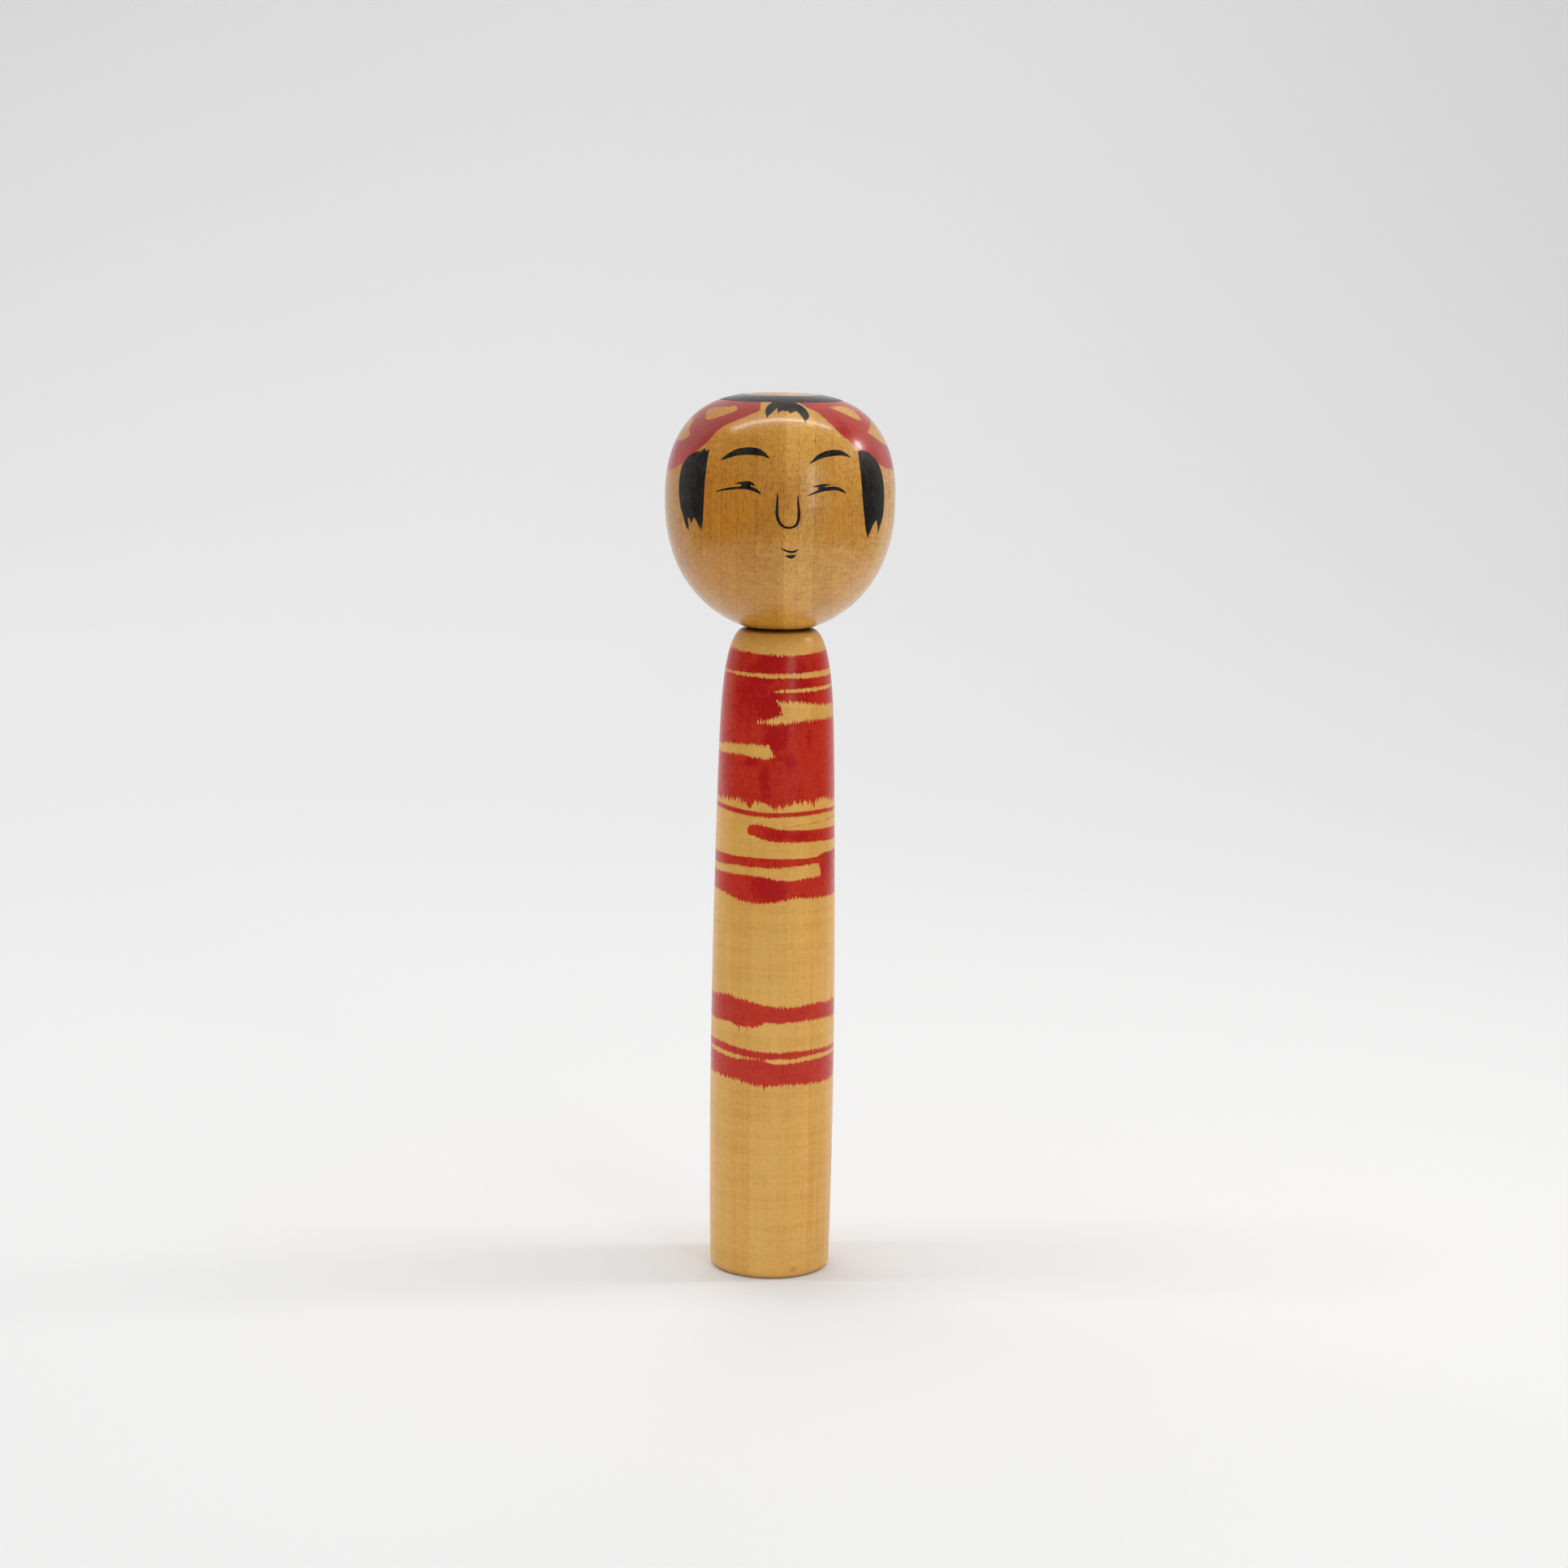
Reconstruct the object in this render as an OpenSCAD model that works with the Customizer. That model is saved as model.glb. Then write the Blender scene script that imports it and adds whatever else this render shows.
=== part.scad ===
// Turned wooden doll in two pieces: a head whose tenon snaps into a socket bored in the body and
// turns there. The origin is the centre of the base, +Z is up and the face looks along -Y.

/* [Head] */
// Greatest diameter of the head
head_d = 62.2; // [48:0.1:75]
// Height of the head above its seat on the body
head_h = 63.3; // [56:0.1:80]
// Height of the widest ring of the head above that seat
cheek_h = 35.4; // [28:0.1:46]
// How flat the crown is on top: 2 is an ellipse, more is flatter
crown_flatness = 2.25; // [1.8:0.05:3.5]
// How far the sides of the crown stay out: 2 is an ellipse, more is squarer
crown_fullness = 3; // [1.8:0.05:3.5]
// How long the cheeks stay upright below the widest ring
cheek_flatness = 2.3; // [1.8:0.05:3.5]
// How full the chin is: 1 is straight, 2 is an ellipse
chin_fullness = 1.95; // [1.1:0.05:2.5]

/* [Body] */
// Height of the body
body_h = 178.6; // [130:0.2:240]
// Diameter of the body where its straight side would meet the floor
base_d = 33; // [27:0.1:42]
// Diameter of the body a third of the way up
waist_d = 34.1; // [27:0.1:42]
// Diameter of the body two thirds of the way up
chest_d = 32.7; // [27:0.1:42]
// Diameter that the side would reach at the top if the shoulder weren't rounded
shoulder_d = 30; // [25:0.1:40]
// Height over which the side turns in to the shoulder
shoulder_h = 58.2; // [20:0.2:80]
// How late the shoulder turns in: more keeps the side straight for longer
shoulder_lateness = 5.5; // [2:0.1:8]
// How full the shoulder is: 2 is an ellipse, more is squarer
shoulder_fullness = 2.3; // [1.4:0.05:3.5]
// Radius of the rounded edge at the foot
foot_round = 2; // [0.5:0.1:4]

/* [Neck joint] */
// Diameter of the head's neck, which turns in the lip of the socket
neck_d = 13; // [9:0.1:16]
// Radial clearance between the neck and the lip
running_clearance = 0.05; // [0.02:0.01:0.1]
// Height of the lip that holds the head in
lip_h = 5; // [3:0.1:8]
// How far the tenon's bulge stands out past the neck, which is what snaps through the lip
snap = 0.4; // [0.2:0.05:0.8]
// Length of the tenon below its neck
tenon_h = 13; // [11:0.5:20]
// Height of the taper on each side of the bulge
taper_h = 2; // [1:0.1:3]
// How far the tenon's end is drawn in from its bulge
nose_in = 1.8; // [0.8:0.1:3]
// Clearance round the tenon's bulge, inside the socket
socket_clearance = 0.6; // [0.3:0.05:1.2]
// Gap between the head's seat and the top of the body
seat_gap = 0.1; // [0.05:0.05:0.3]
// Width of the flat ring that the head rests on
seat_w = 1.75; // [1:0.05:3]
// How far the flat top of the body reaches past the head's seat
seat_margin = 0.35; // [0.2:0.05:1]

/* [Underside] */
// Diameter of the lathe centre's mark in the base
centre_mark_d = 3; // [1:0.1:5]
// Depth of that mark
centre_mark_h = 1.5; // [0.5:0.1:3]

/* [Hidden] */
$fn = 96;

// Steps along each curved stretch of an outline
curve_steps = 26;
shoulder_steps = 30;
side_steps = 10;
round_steps = 6;

head_r = head_d / 2;
neck_r = neck_d / 2;
bulge_r = neck_r + snap;
seat_r = neck_r + seat_w;
top_r = seat_r + seat_margin;
lip_r = neck_r + running_clearance;
socket_r = bulge_r + socket_clearance;

// Heights of the faces of the joint, from the base
seat_z = body_h + seat_gap;
lip_z = body_h - lip_h;
bulge_top_z = lip_z - socket_clearance - taper_h;
tenon_z = lip_z - tenon_h;
socket_floor_z = tenon_z - socket_clearance;

// Height of the shoulder's start, and of the rounded foot's top
shoulder_z = body_h - shoulder_h;

// Where the chin's curve is cut off by the seat, as a share of the curve's full depth
chin_cut = pow(1 - pow(seat_r / head_r, chin_fullness), 1 / cheek_flatness);

wood_head = [0.80, 0.60, 0.34];
wood_body = [0.83, 0.65, 0.38];

// Radius of a full superellipse quarter at share s of its height, for a quarter of radius 1
function swell(s, flatness, fullness) = pow(1 - pow(s, flatness), 1 / fullness);

// The chin, from the seat up to the widest ring
function chin_points() = [
    for (i = [0 : curve_steps])
        let (s = chin_cut * (1 - i / curve_steps))
        [head_r * swell(s, cheek_flatness, chin_fullness), seat_z + cheek_h * (1 - s / chin_cut)]
];

// The crown, from above the widest ring to the top; its steps close up towards the flat top
function crown_points() = [
    for (i = [1 : curve_steps])
        let (s = 1 - pow(1 - i / curve_steps, 2))
        [
            head_r * swell(s, crown_flatness, crown_fullness),
            seat_z + cheek_h + (head_h - cheek_h) * s
        ]
];

// The tenon, from its end on the axis up to the neck at the seat
function tenon_points() = [
    [0, tenon_z],
    [bulge_r - nose_in, tenon_z],
    [bulge_r, tenon_z + taper_h],
    [bulge_r, bulge_top_z],
    [neck_r, bulge_top_z + taper_h],
    [neck_r, seat_z]
];

// Radius of the body's straight side at share u of its height: a cubic through the four diameters
function side_r(u) =
    let (a = 3 * u, b = 3 * u - 1, c = 3 * u - 2, d = 3 * u - 3)
    (-base_d * b * c * d + 3 * waist_d * a * c * d - 3 * chest_d * a * b * d + shoulder_d * a * b * c) / 12;

// Radius of the body at height z, with the shoulder turned in to the flat top
function body_r(z) =
    let (s = max(0, (z - shoulder_z) / shoulder_h))
    top_r + (side_r(z / body_h) - top_r) * swell(s, shoulder_lateness, shoulder_fullness);

// The rounded foot, from the flat base to the side
function foot_points() = [
    for (i = [0 : round_steps])
        let (a = 90 * i / round_steps)
        [
            body_r(foot_round) - foot_round * (1 - sin(a)),
            foot_round * (1 - cos(a))
        ]
];

// The side, from the foot to the start of the shoulder
function side_points() = [
    for (i = [1 : side_steps])
        let (z = foot_round + (shoulder_z - foot_round) * i / side_steps)
        [body_r(z), z]
];

// The shoulder, whose steps close up towards the flat top
function shoulder_points() = [
    for (i = [1 : shoulder_steps])
        let (s = 1 - pow(1 - i / shoulder_steps, 2))
        [body_r(shoulder_z + shoulder_h * s), shoulder_z + shoulder_h * s]
];

// The socket's hollow: a lip bore, a wider chamber for the bulge and the drill's pointed floor
module socket() {
    rotate_extrude()
        polygon([
            [0, socket_floor_z - socket_r / 3],
            [socket_r, socket_floor_z],
            [socket_r, bulge_top_z + socket_clearance],
            [lip_r, lip_z],
            [lip_r, body_h + 1],
            [0, body_h + 1]
        ]);
}

// The mark that the lathe's centre leaves in the base
module centre_mark() {
    translate([0, 0, -0.01])
        cylinder(h = centre_mark_h + 0.01, d1 = centre_mark_d, d2 = 0);
}

module body() {
    color(wood_body)
        difference() {
            rotate_extrude()
                polygon(concat(
                    [[0, 0]],
                    foot_points(),
                    side_points(),
                    shoulder_points(),
                    [[0, body_h]]
                ));
            socket();
            centre_mark();
        }
}

module head() {
    color(wood_head)
        rotate_extrude()
            polygon(concat(tenon_points(), chin_points(), crown_points()));
}

body();
head();
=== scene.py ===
"""A kokeshi doll: turned, waxed wood with red dye that bled along its grain and black brush ink.

Shapes are worked out in millimetres and turned into metres where a mesh is made.
A place on the head is (azimuth, drop): degrees from the face's middle towards +X, and the distance
down the surface from the middle of the crown. A place on the body is (azimuth, height).
"""

import math

import bpy
import numpy as np
from mathutils import Matrix, Vector
from mathutils.geometry import delaunay_2d_cdt


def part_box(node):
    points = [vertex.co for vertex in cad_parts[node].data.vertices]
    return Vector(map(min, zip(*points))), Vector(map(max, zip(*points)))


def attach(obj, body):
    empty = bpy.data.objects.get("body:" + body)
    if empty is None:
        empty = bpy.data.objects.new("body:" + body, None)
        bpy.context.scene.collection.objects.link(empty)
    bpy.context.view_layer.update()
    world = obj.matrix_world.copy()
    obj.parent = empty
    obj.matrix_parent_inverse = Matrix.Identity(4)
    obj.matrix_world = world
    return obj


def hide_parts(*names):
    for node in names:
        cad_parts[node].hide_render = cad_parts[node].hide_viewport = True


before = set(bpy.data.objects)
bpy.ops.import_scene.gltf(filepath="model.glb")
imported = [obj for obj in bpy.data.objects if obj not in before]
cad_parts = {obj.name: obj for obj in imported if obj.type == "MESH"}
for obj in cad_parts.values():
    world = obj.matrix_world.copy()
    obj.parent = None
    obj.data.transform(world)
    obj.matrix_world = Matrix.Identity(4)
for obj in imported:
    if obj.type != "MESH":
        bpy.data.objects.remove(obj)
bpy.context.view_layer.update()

MM = 0.001


def box_mm(node):
    """A CAD node's lowest and highest corners, in millimetres."""
    low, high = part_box(node)
    return low / MM, high / MM


head_low, head_high = box_mm("head")
body_high = box_mm("body")[1]

# Heights and radii that the CAD model fixes
HEAD_R = head_high.x
CROWN_Z = head_high.z
TENON_Z = head_low.z
BODY_TOP = body_high.z
SEAT_GAP = 0.1
SEAT_Z = BODY_TOP + SEAT_GAP
CHEEK_Z = SEAT_Z + 35.4

# The head's curves: the exponents of its crown and of its chin
CROWN_FLATNESS = 2.25
CROWN_FULLNESS = 3.0
CHEEK_FLATNESS = 2.3
CHIN_FULLNESS = 1.95
SEAT_R = 8.25
NECK_R = 6.5
BULGE_R = 6.9
TENON_END_R = 5.1
TAPER_H = 2.0

# The body's side: its radius at the base, at each third of the height and at the top
SIDE_RADII = (16.5, 17.05, 16.35, 15.0)
SHOULDER_H = 58.2
SHOULDER_LATENESS = 5.5
SHOULDER_FULLNESS = 2.3
TOP_R = 8.6
FOOT_ROUND = 2.0

# The socket that the tenon snaps into, and the lathe centre's mark in the base
LIP_R = 6.55
LIP_H = 5.0
SOCKET_R = 7.5
SOCKET_CLEARANCE = 0.6
CENTRE_MARK_R = 1.5
CENTRE_MARK_H = 1.5

# How finely the turned surfaces are divided: the rings' spacing outside, on flats and inside, and round
RING_STEP = 0.5
BASE_STEP = 1.2
INNER_STEP = 1.0
FOOT_STEPS = 9
HEAD_SEGMENTS = 256
BODY_SEGMENTS = 224

# How finely a curve is followed before its rings are spaced out, and the angle from which an edge is sharp
CHIN_SAMPLES = 3000
CURVE_SAMPLES = 6000
SHARP_FROM = 35

# A depth in the dye that no raggedness reaches
UNPAINTED = -50.0


# ---------------- the camera

CAMERA_DISTANCE = 0.8724
CAMERA_HEIGHT = 0.2746
CAMERA_AZIMUTH = -4.3
CAMERA_PITCH = 0.158
CAMERA_YAW = 0.0025
CAMERA_ROLL = 0.0148
LENS = 74.1


def add_object(name, data):
    """A new object in the scene."""
    made = bpy.data.objects.new(name, data)
    bpy.context.scene.collection.objects.link(made)
    return made


def add_mesh(name, points, faces):
    """A new object in the scene, from its points in metres and its faces."""
    mesh = bpy.data.meshes.new(name)
    mesh.from_pydata(points, [], faces)
    return add_object(name, mesh)


def add_camera():
    """The camera at the photograph's place, a little above the doll's forehead and to its right."""
    camera = add_object("camera", bpy.data.cameras.new("camera"))
    camera.data.lens = LENS
    camera.data.sensor_width = 36.0
    camera.data.clip_start = 0.01
    forward = Vector((
        math.sin(CAMERA_YAW) * math.cos(CAMERA_PITCH),
        math.cos(CAMERA_YAW) * math.cos(CAMERA_PITCH),
        -math.sin(CAMERA_PITCH),
    ))
    right = forward.cross(Vector((0, 0, 1))).normalized()
    up = right.cross(forward)
    rolled_right = math.cos(CAMERA_ROLL) * right + math.sin(CAMERA_ROLL) * up
    rolled_up = math.cos(CAMERA_ROLL) * up - math.sin(CAMERA_ROLL) * right
    turn = Matrix((rolled_right, rolled_up, -forward)).transposed().to_4x4()
    place = Matrix.Translation((0, -CAMERA_DISTANCE, CAMERA_HEIGHT))
    camera.matrix_world = Matrix.Rotation(math.radians(CAMERA_AZIMUTH), 4, "Z") @ place @ turn
    bpy.context.scene.camera = camera


# ---------------- outlines of the turned pieces


def swell(share, flatness, fullness):
    """The radius of a full quarter curve at a share of its height."""
    return (1 - share**flatness) ** (1 / fullness)


def even(points, step=RING_STEP):
    """The same line with its points about one step apart."""
    points = np.array(points, float)
    along = np.concatenate([[0], np.cumsum(np.hypot(*np.diff(points, axis=0).T))])
    count = max(1, round(along[-1] / step))
    places = np.linspace(0, along[-1], count + 1)
    return np.column_stack([np.interp(places, along, points[:, axis]) for axis in (0, 1)])


def joined(*lines):
    """One line from several that meet end to start."""
    return np.vstack([lines[0]] + [line[1:] for line in lines[1:]])


def head_curve():
    """The head's surface as (radius, height), from its seat up over the cheeks to the crown's middle."""
    cut = (1 - (SEAT_R / HEAD_R) ** CHIN_FULLNESS) ** (1 / CHEEK_FLATNESS)
    share = np.linspace(1, 0, CHIN_SAMPLES)
    chin = np.column_stack([
        HEAD_R * swell(cut * share, CHEEK_FLATNESS, CHIN_FULLNESS),
        CHEEK_Z - (CHEEK_Z - SEAT_Z) * share,
    ])
    rise = 1 - np.linspace(1, 0, CURVE_SAMPLES) ** 2
    crown = np.column_stack([
        HEAD_R * swell(rise, CROWN_FLATNESS, CROWN_FULLNESS),
        CHEEK_Z + (CROWN_Z - CHEEK_Z) * rise,
    ])
    return even(joined(chin, crown))


def tenon_line():
    """The tenon from its end on the axis, over its bulge and neck, to the head's seat."""
    lip_z = BODY_TOP - LIP_H
    bulge_top = lip_z - SOCKET_CLEARANCE - TAPER_H
    corners = [
        (0, TENON_Z), (TENON_END_R, TENON_Z), (BULGE_R, TENON_Z + TAPER_H), (BULGE_R, bulge_top),
        (NECK_R, bulge_top + TAPER_H), (NECK_R, SEAT_Z), (SEAT_R, SEAT_Z),
    ]
    return joined(*[even(pair, INNER_STEP) for pair in zip(corners, corners[1:])])


def side_radius(share):
    """The body's straight side at a share of its height: a cubic through its four radii."""
    a, b, c, d = 3 * share, 3 * share - 1, 3 * share - 2, 3 * share - 3
    base, waist, chest, shoulder = SIDE_RADII
    return (-base * b * c * d + 3 * waist * a * c * d - 3 * chest * a * b * d + shoulder * a * b * c) / 6


def body_radius(z):
    """The body's radius at height z, with the shoulder turned in."""
    share = np.clip((z - BODY_TOP + SHOULDER_H) / SHOULDER_H, 0, 1)
    side = side_radius(z / BODY_TOP)
    return TOP_R + (side - TOP_R) * swell(share, SHOULDER_LATENESS, SHOULDER_FULLNESS)


def body_outside():
    """The body from the centre's mark in its base, round the foot and up the side to the socket's rim."""
    turn = np.radians(np.linspace(0, 90, FOOT_STEPS))
    foot = np.column_stack([
        body_radius(FOOT_ROUND) - FOOT_ROUND * (1 - np.sin(turn)),
        FOOT_ROUND * (1 - np.cos(turn)),
    ])
    rise = 1 - np.linspace(1, 0, CURVE_SAMPLES) ** 2
    height = FOOT_ROUND + (BODY_TOP - FOOT_ROUND) * rise
    side = np.column_stack([body_radius(height), height])
    mark = even([(0, CENTRE_MARK_H), (CENTRE_MARK_R, 0)])
    base = even([(CENTRE_MARK_R, 0), foot[0]], BASE_STEP)
    return joined(mark, base, foot, even(side), even([side[-1], (LIP_R, BODY_TOP)]))


def socket_line():
    """The socket's hollow from its rim down to the drill's point on the axis."""
    lip_z = BODY_TOP - LIP_H
    floor_z = TENON_Z - SOCKET_CLEARANCE
    corners = [
        (LIP_R, BODY_TOP), (LIP_R, lip_z), (SOCKET_R, lip_z - TAPER_H),
        (SOCKET_R, floor_z), (0, floor_z - SOCKET_R / 3),
    ]
    return joined(*[even(pair, INNER_STEP) for pair in zip(corners, corners[1:])])


def lathe(name, outline, segments):
    """A closed turned mesh whose outline starts and ends on the axis, and each vertex's azimuth and ring."""
    azimuths = np.linspace(-180, 180, segments, endpoint=False)
    turn = np.radians(azimuths)
    rings = outline[1:-1]
    spin = np.column_stack([np.sin(turn), -np.cos(turn)])
    points = [(0, 0, outline[0][1])]
    for radius, height in rings:
        points += [(radius * x, radius * y, height) for x, y in spin]
    points.append((0, 0, outline[-1][1]))
    last = len(points) - 1

    def at(ring, segment):
        return 1 + ring * segments + segment % segments

    faces = [(0, at(0, j + 1), at(0, j)) for j in range(segments)]
    for i in range(len(rings) - 1):
        faces += [(at(i, j), at(i, j + 1), at(i + 1, j + 1), at(i + 1, j)) for j in range(segments)]
    top = len(rings) - 1
    faces += [(at(top, j), at(top, j + 1), last) for j in range(segments)]
    piece = add_mesh(name, [tuple(MM * c for c in point) for point in points], faces)
    piece.data.shade_smooth()
    piece.data.set_sharp_from_angle(angle=math.radians(SHARP_FROM))
    azimuth = np.concatenate([[0], np.tile(azimuths, len(rings)), [0]])
    ring = np.concatenate([[0], np.repeat(np.arange(1, len(rings) + 1), segments), [len(outline) - 1]])
    return piece, azimuth, ring


def give(piece, name, values):
    """Stores one number for each vertex, which the material reads."""
    attribute = piece.data.attributes.new(name, "FLOAT", "POINT")
    attribute.data.foreach_set("value", np.asarray(values, np.float32))


# ---------------- brush work: curves and areas


def bend(*points, steps=8):
    """A smooth curve through the points, which may carry more numbers than their place, such as a width."""
    line = np.array(points, float)
    before = np.vstack([2 * line[0] - line[1], line[:-1]])[:-1]
    after = np.vstack([line[1:], 2 * line[-1] - line[-2]])[1:]
    share = np.linspace(0, 1, steps, endpoint=False)[:, None]
    curve = []
    for p, a, b, n in zip(before, line[:-1], line[1:], after):
        curve.append(
            a + share * (b - p) / 2
            + share**2 * (p - 2.5 * a + 2 * b - n / 2)
            + share**3 * (1.5 * (a - b) + (n - p) / 2)
        )
    return np.vstack(curve + [line[-1:]])


def outline(*sides):
    """A closed outline from curved sides that meet at corners."""
    return np.vstack([bend(*side) if len(side) > 2 else np.array(side, float) for side in sides])


def inside_by(azimuth, place, radius, area):
    """How far inside a closed area each vertex lies, in millimetres; outside it is negative."""
    distance = np.full(len(azimuth), 1e9)
    inside = np.zeros(len(azimuth), bool)
    to_mm = np.radians(radius)
    for (a_az, a_y), (b_az, b_y) in zip(area, np.roll(area, -1, axis=0)):
        ax, ay = (a_az - azimuth) * to_mm, a_y - place
        bx, by = (b_az - azimuth) * to_mm, b_y - place
        dx, dy = bx - ax, by - ay
        share = np.clip(-(ax * dx + ay * dy) / np.maximum(dx * dx + dy * dy, 1e-12), 0, 1)
        distance = np.minimum(distance, np.hypot(ax + share * dx, ay + share * dy))
        crosses = (ay > 0) != (by > 0)
        inside ^= crosses & ((ax * by - bx * ay) * np.sign(by - ay) > 0)
    return np.where(inside, distance, -distance)


def area_depth(azimuth, place, radius, area):
    """inside_by for an area that may reach past the back, at azimuth 180."""
    depth = inside_by(azimuth, place, radius, area)
    for turn in (-360, 360):
        if area[:, 0].min() < -180 or area[:, 0].max() > 180:
            depth = np.maximum(depth, inside_by(azimuth + turn, place, radius, area))
    return depth


def edge_height(azimuth, points):
    """The height of a line that goes all the way round, at each azimuth."""
    points = sorted(points)
    around = [(az + turn, z) for turn in (-360, 0, 360) for az, z in points]
    curve = bend(*around, steps=6)
    return np.interp(azimuth, curve[:, 0], curve[:, 1])


# ---------------- the body's red bands

# Each band's upper and lower edge, and how ragged each of the two is
BANDS = [
    (
        [(-72, 173.4), (0, 172.5), (74, 173.1), (180, 173.2)],
        [(-84, 132.9), (-56, 133), (-37, 132.7), (-31, 131.5), (-26, 132.5), (-16, 132.3), (-9, 131.7),
         (1, 131.5), (6, 132.4), (21, 132.8), (30, 133), (35, 131.9), (43, 133.6), (73, 132.5),
         (150, 132.9)],
        0.45, 1.3,
    ),
    (
        [(-84, 131.4), (-48, 130.9), (-19, 130.3), (6, 130.3), (48, 130.6), (73, 130.4), (180, 130.9)],
        [(-84, 130), (-48, 129.5), (-19, 128.9), (6, 129), (48, 129.4), (73, 129.3), (180, 129.7)],
        0.15, 0.3,
    ),
    (
        [(-76, 117.9), (-46, 117.8), (-18, 117.8), (22, 117.6), (41, 117.8), (48, 118.4), (75, 118.4),
         (180, 117.6)],
        [(-76, 107.4), (-52, 106.7), (-36, 105.6), (-16, 105.3), (-4, 105.7), (7, 106.4), (22, 106.7),
         (75, 106.2), (180, 106.9)],
        0.15, 0.5,
    ),
    (
        [(-84, 78.3), (-56, 79.2), (-37, 78.6), (-20, 77.8), (-5, 77), (8, 76.8), (35, 77.2), (74, 76.8),
         (150, 77.6)],
        [(-75, 71.4), (-51, 71.7), (-36, 70.9), (-19, 71.2), (-12, 72.3), (3, 72.3), (41, 72.7), (69, 72.2),
         (150, 71.6)],
        0.5, 0.5,
    ),
    (
        [(-74, 65.7), (-48, 65.3), (-25, 64.6), (-4, 64.2), (23, 64.4), (75, 64.2), (180, 65.2)],
        [(-75, 56.1), (-47, 56.1), (-26, 55.2), (-11, 54.6), (4, 55), (27, 55), (72, 54.6), (180, 55.6)],
        0.4, 0.65,
    ),
]

# A brush stroke that starts at the front and ends at the left side, after going round the back
LONG_STROKE = outline(
    [(-32, 124.9), (-31.4, 126), (-28.5, 126.7), (-21, 126.8), (-11, 126.4), (-4, 125.9), (11, 125.5),
     (72, 125), (170, 124.2), (240, 123.2), (272, 122.4)],
    [(277, 121.8), (270, 121), (220, 120.9), (150, 121.1), (72, 121.4), (44, 121.8), (12, 122.1),
     (-4, 122.3), (-16, 122.9), (-26, 123.7), (-30.8, 124.1), (-32, 124.9)],
)

# A line so thin that the brush hardly wetted the wood, and how far inside the dye it gets at most
FAINT_LINE = outline(
    [(4, 126.6), (24, 127), (48, 127.6), (80, 128)],
    [(80, 127.4), (48, 127.1), (24, 126.6), (4, 126.3)],
)
FAINT_DEPTH = -0.02

# How ragged the edges of the strokes, of the single fibres and of the head's ornaments are
STROKE_TEETH = 0.28
FIBRE_TEETH = 0.15
HEAD_TEETH = 0.25

# Wood that the brush missed inside the bands: how ragged its edge is, and the sides of its outline
BARE = [
    (0.28, [(-100, 167.5), (-57, 167.6), (0, 167.6), (57, 168), (130, 167.9), (150, 167.6)],
     [(150, 167.4), (130, 166.9), (57, 166.5), (0, 166.5), (-57, 166.9), (-100, 167.2)]),
    (0.28, [(-9, 163.1), (10, 163.5), (48, 163.8), (75, 164), (120, 164)],
     [(120, 163.6), (75, 163.2), (48, 162.9), (10, 162.7), (-9, 162.9)]),
    (0.6, [(-4, 160.3), (11, 160.1), (34, 159.5), (75, 158.3), (122, 157.4)],
     [(122, 157), (115, 155.6), (75, 154.9), (41, 155.2), (21, 154.9), (5, 154.4), (-16, 154.3),
      (-22, 154.6)],
     [(-17, 155.2), (-7, 155.8), (3, 156.9)],
     [(-1, 157.3), (0, 158.4), (-4, 160.3)]),
    (0.5, [(-128, 146.8), (-110, 147.6), (-76, 147.6), (-51, 148.3), (-11, 148.4)],
     [(-8, 146.6), (-6, 145.2), (-10, 145), (-18, 144.7), (-31, 145.3), (-51, 145.5), (-75, 145.3),
      (-120, 145.8)]),
    (0.35, [(-140, 114.3), (-120, 114.8), (-75, 114.7), (-46, 115.2), (-8, 115.1), (22, 115.6), (41, 115.9)],
     [(44, 114), (44, 112.4), (28, 112.1), (12, 111.7), (-3, 111.9), (-18, 112.8), (-49, 112.8),
      (-75, 112.7), (-120, 112.9)]),
    (0.35, [(-118, 63.3), (-74, 63.6), (-41, 63), (-27, 62.5), (-15, 62.3)],
     [(-15, 62.1), (-27, 62.1), (-41, 61.8), (-55, 62.2), (-74, 62.5), (-118, 62.8)]),
    (0.35, [(-12, 62.2), (-5, 62.3), (14, 62.3), (35, 62.8), (75, 62.7), (118, 62.4)],
     [(118, 62), (75, 61.7), (36, 61.6), (14, 61.1), (-4, 61.1), (-12, 61.9)]),
]

# Single fibres that carried the dye further: azimuth, height inside the band, height of the tip, width
BLED_FIBRES = [
    (-37, 72, 68.6, 0.7), (5, 76, 78.5, 0.7), (-29, 72, 69.9, 0.6), (67, 76.5, 79.6, 0.8),
    (69, 73, 69, 0.8), (-26, 56, 53.7, 1), (-11, 56, 53.2, 1.5), (-41, 107, 104.6, 0.6),
    (-29, 117, 118.8, 0.5), (-66, 134, 131.7, 0.5), (-22, 126, 127.9, 0.5), (-18, 126, 127.6, 0.4),
    (10, 125, 126.9, 0.5), (-49, 112, 113.7, 0.7), (140, 72.5, 69.4, 0.9), (-150, 106.9, 104.4, 0.8),
    (120, 133, 130.9, 0.7), (-140, 56.5, 54, 1.1), (165, 117.2, 119.5, 0.7),
]

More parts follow.
